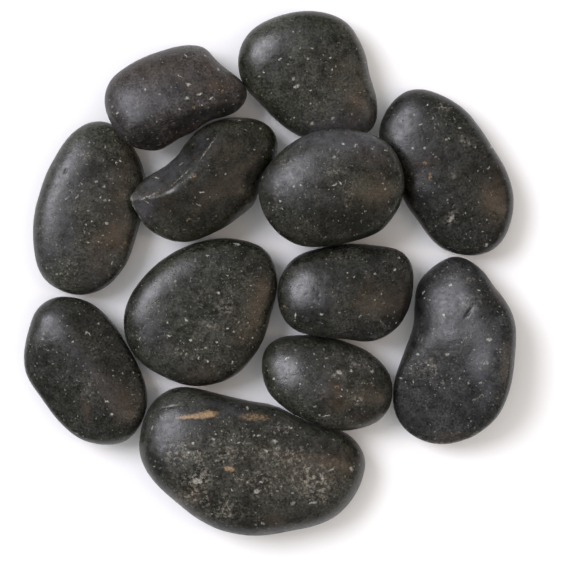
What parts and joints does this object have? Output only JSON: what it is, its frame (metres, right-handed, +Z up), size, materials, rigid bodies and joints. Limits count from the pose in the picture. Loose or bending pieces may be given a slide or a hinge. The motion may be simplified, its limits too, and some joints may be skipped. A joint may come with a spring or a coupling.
{
  "type": "basalt massage stones",
  "caption": "Smooth polished dark basalt pebbles of unlike shapes and sizes, lying close together on a level surface, for heating and laying on the skin in massage.",
  "frame": {"origin": "on the table, at the centre of the cluster's plan outline", "axes": "+Z up out of the table; +Y towards the two stones at the top of the cluster; +X to their right, seen from above"},
  "size_m": [0.1769, 0.1886, 0.028],
  "materials": {
    "top_left_stone_basalt": "purple-grey, satin polish",
    "top_stone_basalt": "dark green-grey with fine pale specks, polished",
    "upper_right_stone_basalt": "near-black, polished",
    "centre_oval_stone_basalt": "dark green-grey, polished",
    "ridged_stone_basalt": "dark brown-green, polished, with a worn pale ridge",
    "left_stone_basalt": "dark green-grey with fine pale specks, polished",
    "rounded_triangle_stone_basalt": "dark grey with many fine specks, polished",
    "small_oblong_stone_basalt": "near-black, polished",
    "kidney_stone_basalt": "blue-grey, satin polish",
    "lower_left_stone_basalt": "near-black, satin polish",
    "small_oval_stone_basalt": "dark green-grey with pale inclusions, polished",
    "large_speckled_stone_basalt": "grey-black with dense pale and ochre inclusions, polished"
  },
  "bodies": {
    "top_left": {"top_left_stone": "top_left_stone_basalt"},
    "top": {"top_stone": "top_stone_basalt"},
    "upper_right": {"upper_right_stone": "upper_right_stone_basalt"},
    "centre_oval": {"centre_oval_stone": "centre_oval_stone_basalt"},
    "ridged": {"ridged_stone": "ridged_stone_basalt"},
    "left": {"left_stone": "left_stone_basalt"},
    "rounded_triangle": {"rounded_triangle_stone": "rounded_triangle_stone_basalt"},
    "small_oblong": {"small_oblong_stone": "small_oblong_stone_basalt"},
    "kidney": {"kidney_stone": "kidney_stone_basalt"},
    "lower_left": {"lower_left_stone": "lower_left_stone_basalt"},
    "small_oval": {"small_oval_stone": "small_oval_stone_basalt"},
    "large_speckled": {"large_speckled_stone": "large_speckled_stone_basalt"}
  },
  "joints": [
    {"name": "top_left_lift", "type": "slide", "parent": "large_speckled", "child": "top_left", "axis": [0, 0, 1], "range_m": [0, 0.06]},
    {"name": "top_lift", "type": "slide", "parent": "large_speckled", "child": "top", "axis": [0, 0.8, 0.6], "range_m": [0, 0.08]},
    {"name": "upper_right_lift", "type": "slide", "parent": "large_speckled", "child": "upper_right", "axis": [0.7954, 0.0994, 0.5979], "range_m": [0, 0.08]},
    {"name": "centre_oval_lift", "type": "slide", "parent": "large_speckled", "child": "centre_oval", "axis": [0, 0, 1], "range_m": [0, 0.06]},
    {"name": "ridged_lift", "type": "slide", "parent": "large_speckled", "child": "ridged", "axis": [-0.5629, -0.307, 0.7674], "range_m": [0, 0.04]},
    {"name": "left_lift", "type": "slide", "parent": "large_speckled", "child": "left", "axis": [-0.8575, -0.1009, 0.5044], "range_m": [0, 0.08]},
    {"name": "rounded_triangle_lift", "type": "slide", "parent": "large_speckled", "child": "rounded_triangle", "axis": [0, 0, 1], "range_m": [0, 0.06]},
    {"name": "small_oblong_lift", "type": "slide", "parent": "large_speckled", "child": "small_oblong", "axis": [0.0499, -0.2494, 0.9671], "range_m": [0, 0.035]},
    {"name": "kidney_lift", "type": "slide", "parent": "large_speckled", "child": "kidney", "axis": [0, 0, 1], "range_m": [0, 0.06]},
    {"name": "lower_left_lift", "type": "slide", "parent": "large_speckled", "child": "lower_left", "axis": [0, 0, 1], "range_m": [0, 0.06]},
    {"name": "small_oval_lift", "type": "slide", "parent": "large_speckled", "child": "small_oval", "axis": [0, -0.202, 0.9794], "range_m": [0, 0.06]}
  ]
}
